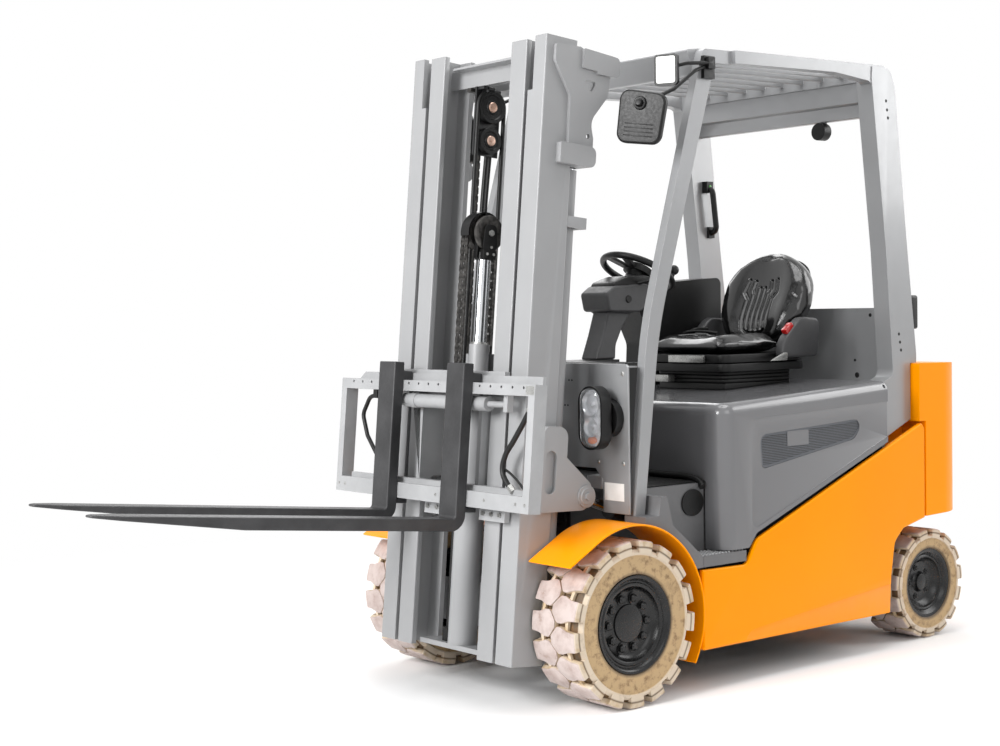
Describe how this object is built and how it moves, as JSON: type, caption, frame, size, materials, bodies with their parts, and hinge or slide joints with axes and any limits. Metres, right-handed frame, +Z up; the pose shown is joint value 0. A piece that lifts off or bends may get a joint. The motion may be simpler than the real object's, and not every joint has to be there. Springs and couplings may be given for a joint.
{
  "type": "electric counterbalance forklift",
  "caption": "Ride-on electric lift truck: orange sills, overhead guard, seat, leaning mast with fork carriage, forks and solid tyres.",
  "frame": {"origin": "on the ground below the middle of the truck's overall length, at its mid width", "axes": "+X forward along the forks, +Y to the driver's left, +Z up"},
  "size_m": [3.8311, 1.24, 2.3715],
  "materials": {
    "body_orange": "gloss",
    "hood_grey": "gloss",
    "guard_silver": "gloss",
    "mast_grey": "satin",
    "carriage_grey": "satin",
    "frame_black": "satin",
    "cast_grey": "satin",
    "tyre_rubber": "matte",
    "rim_black": "gloss",
    "fork_charcoal": "satin",
    "chain_steel": "brushed",
    "column_grey": "satin",
    "chrome_rod": "polished",
    "black_plastic": "matte",
    "floor_grey": "satin",
    "seat_vinyl": "satin",
    "lens_clear": "polished",
    "battery_case": "satin",
    "hose_rubber": "matte"
  },
  "bodies": {
    "chassis": {"chassis_frame": "frame_black", "drive_axle": "cast_grey", "steer_axle_beam": "cast_grey", "side_skirts": "body_orange", "front_fenders": "body_orange", "counterweight": "body_orange", "tow_pin": "chain_steel", "battery": "battery_case", "cab_floor": "floor_grey", "pedals": "black_plastic", "front_panel": "guard_silver", "dash_cover": "black_plastic", "steering_column": "column_grey", "guard_side_frames": "guard_silver", "guard_roof": "guard_silver", "guard_rear_panels": "guard_silver", "headlamps": "black_plastic", "headlamp_lenses": "lens_clear", "mirrors": "black_plastic", "work_lamp": "black_plastic", "grab_handle": "black_plastic", "tilt_anchors": "frame_black"},
    "drive_wheel_left": {"drive_tyre_left": "tyre_rubber", "drive_rim_left": "rim_black"},
    "drive_wheel_right": {"drive_tyre_right": "tyre_rubber", "drive_rim_right": "rim_black"},
    "steer_knuckle_left": {"knuckle_left": "cast_grey"},
    "steer_knuckle_right": {"knuckle_right": "cast_grey"},
    "steer_wheel_left": {"steer_tyre_left": "tyre_rubber", "steer_rim_left": "rim_black"},
    "steer_wheel_right": {"steer_tyre_right": "tyre_rubber", "steer_rim_right": "rim_black"},
    "hand_wheel": {"steering_wheel": "black_plastic"},
    "hood_and_seat": {"hood": "hood_grey", "hood_grilles": "black_plastic", "seat_base": "black_plastic", "seat_cushion": "seat_vinyl", "seat_backrest": "seat_vinyl", "operator_console": "black_plastic"},
    "mast_outer": {"mast_outer_rails": "mast_grey", "mast_head_bracket": "mast_grey", "lift_barrels": "mast_grey"},
    "mast_inner": {"mast_inner_rails": "mast_grey", "lift_rods": "chrome_rod", "free_lift_barrel": "mast_grey", "hose_pulleys": "frame_black", "mast_hose": "hose_rubber"},
    "lift_head_group": {"lift_head": "frame_black", "lift_chains": "chain_steel"},
    "carriage_group": {"carriage": "carriage_grey", "side_shift_cylinder": "carriage_grey"},
    "side_shifter_group": {"side_shifter": "carriage_grey", "shifter_hose": "hose_rubber"},
    "fork_left_body": {"fork_left": "fork_charcoal"},
    "fork_right_body": {"fork_right": "fork_charcoal"},
    "tilt_barrel_left_body": {"tilt_barrel_left": "frame_black"},
    "tilt_barrel_right_body": {"tilt_barrel_right": "frame_black"},
    "tilt_rod_left_body": {"tilt_rod_left": "chrome_rod"},
    "tilt_rod_right_body": {"tilt_rod_right": "chrome_rod"}
  },
  "joints": [
    {"name": "drive_wheel_left_spin", "type": "hinge", "parent": "chassis", "child": "drive_wheel_left", "pos_m": [0.0885, 0.5075, 0.296], "axis": [0, 1, 0], "continuous": true},
    {"name": "drive_wheel_right_spin", "type": "hinge", "parent": "chassis", "child": "drive_wheel_right", "pos_m": [0.0885, -0.5075, 0.296], "axis": [0, 1, 0], "continuous": true},
    {"name": "steer_left", "type": "hinge", "parent": "chassis", "child": "steer_knuckle_left", "pos_m": [-1.6865, 0.34, 0.229], "axis": [0, 0, 1], "range_deg": [-50, 50]},
    {"name": "steer_right", "type": "hinge", "parent": "chassis", "child": "steer_knuckle_right", "pos_m": [-1.6865, -0.34, 0.229], "axis": [0, 0, 1], "range_deg": [-50, 50]},
    {"name": "steer_wheel_left_spin", "type": "hinge", "parent": "steer_knuckle_left", "child": "steer_wheel_left", "pos_m": [-1.6865, 0.4585, 0.229], "axis": [0, 1, 0], "continuous": true},
    {"name": "steer_wheel_right_spin", "type": "hinge", "parent": "steer_knuckle_right", "child": "steer_wheel_right", "pos_m": [-1.6865, -0.4585, 0.229], "axis": [0, 1, 0], "continuous": true},
    {"name": "hand_wheel_turn", "type": "hinge", "parent": "chassis", "child": "hand_wheel", "pos_m": [-0.5375, 0, 1.548], "axis": [-0.4695, 0, 0.8829], "continuous": true},
    {"name": "hood_open", "type": "hinge", "parent": "chassis", "child": "hood_and_seat", "pos_m": [-1.3415, 0, 1.072], "axis": [0, -1, 0], "range_deg": [0, 18]},
    {"name": "mast_tilt", "type": "hinge", "parent": "chassis", "child": "mast_outer", "pos_m": [0.1845, 0, 0.3], "axis": [0, 1, 0], "range_deg": [-1.6, 12.4]},
    {"name": "mast_lift", "type": "slide", "parent": "mast_outer", "child": "mast_inner", "axis": [-0.0941, 0, 0.9956], "range_m": [0, 1.5]},
    {"name": "carriage_lift", "type": "slide", "parent": "mast_inner", "child": "carriage_group", "axis": [-0.0941, 0, 0.9956], "range_m": [-0.58, 0.9]},
    {"name": "lift_head_rise", "type": "slide", "parent": "mast_inner", "child": "lift_head_group", "axis": [-0.0941, 0, 0.9956], "range_m": [-0.29, 0.45]},
    {"name": "side_shift", "type": "slide", "parent": "carriage_group", "child": "side_shifter_group", "axis": [0, 1, 0], "range_m": [-0.06, 0.14]},
    {"name": "fork_left_slide", "type": "slide", "parent": "side_shifter_group", "child": "fork_left_body", "axis": [0, 1, 0], "range_m": [-0.1, 0.3]},
    {"name": "fork_right_slide", "type": "slide", "parent": "side_shifter_group", "child": "fork_right_body", "axis": [0, -1, 0], "range_m": [-0.1, 0.265]},
    {"name": "tilt_barrel_left_swing", "type": "hinge", "parent": "chassis", "child": "tilt_barrel_left_body", "pos_m": [-0.3515, 0.35, 0.56], "axis": [0, 1, 0], "range_deg": [-0.4, 3]},
    {"name": "tilt_rod_left_stroke", "type": "slide", "parent": "tilt_barrel_left_body", "child": "tilt_rod_left_body", "axis": [0.9402, 0, 0.3405], "range_m": [-0.0125, 0.0925]},
    {"name": "tilt_barrel_right_swing", "type": "hinge", "parent": "chassis", "child": "tilt_barrel_right_body", "pos_m": [-0.3515, -0.35, 0.56], "axis": [0, 1, 0], "range_deg": [-0.4, 3]},
    {"name": "tilt_rod_right_stroke", "type": "slide", "parent": "tilt_barrel_right_body", "child": "tilt_rod_right_body", "axis": [0.9402, 0, 0.3405], "range_m": [-0.0125, 0.0925]}
  ],
  "couplings": [
    {"joint": "steer_right", "follows": "steer_left", "ratio": 1},
    {"joint": "lift_head_rise", "follows": "carriage_lift", "ratio": 0.5},
    {"joint": "tilt_barrel_left_swing", "follows": "mast_tilt", "ratio": 0.232},
    {"joint": "tilt_rod_left_stroke", "follows": "mast_tilt", "m_per_rad": 0.42},
    {"joint": "tilt_barrel_right_swing", "follows": "mast_tilt", "ratio": 0.232},
    {"joint": "tilt_rod_right_stroke", "follows": "mast_tilt", "m_per_rad": 0.42}
  ]
}
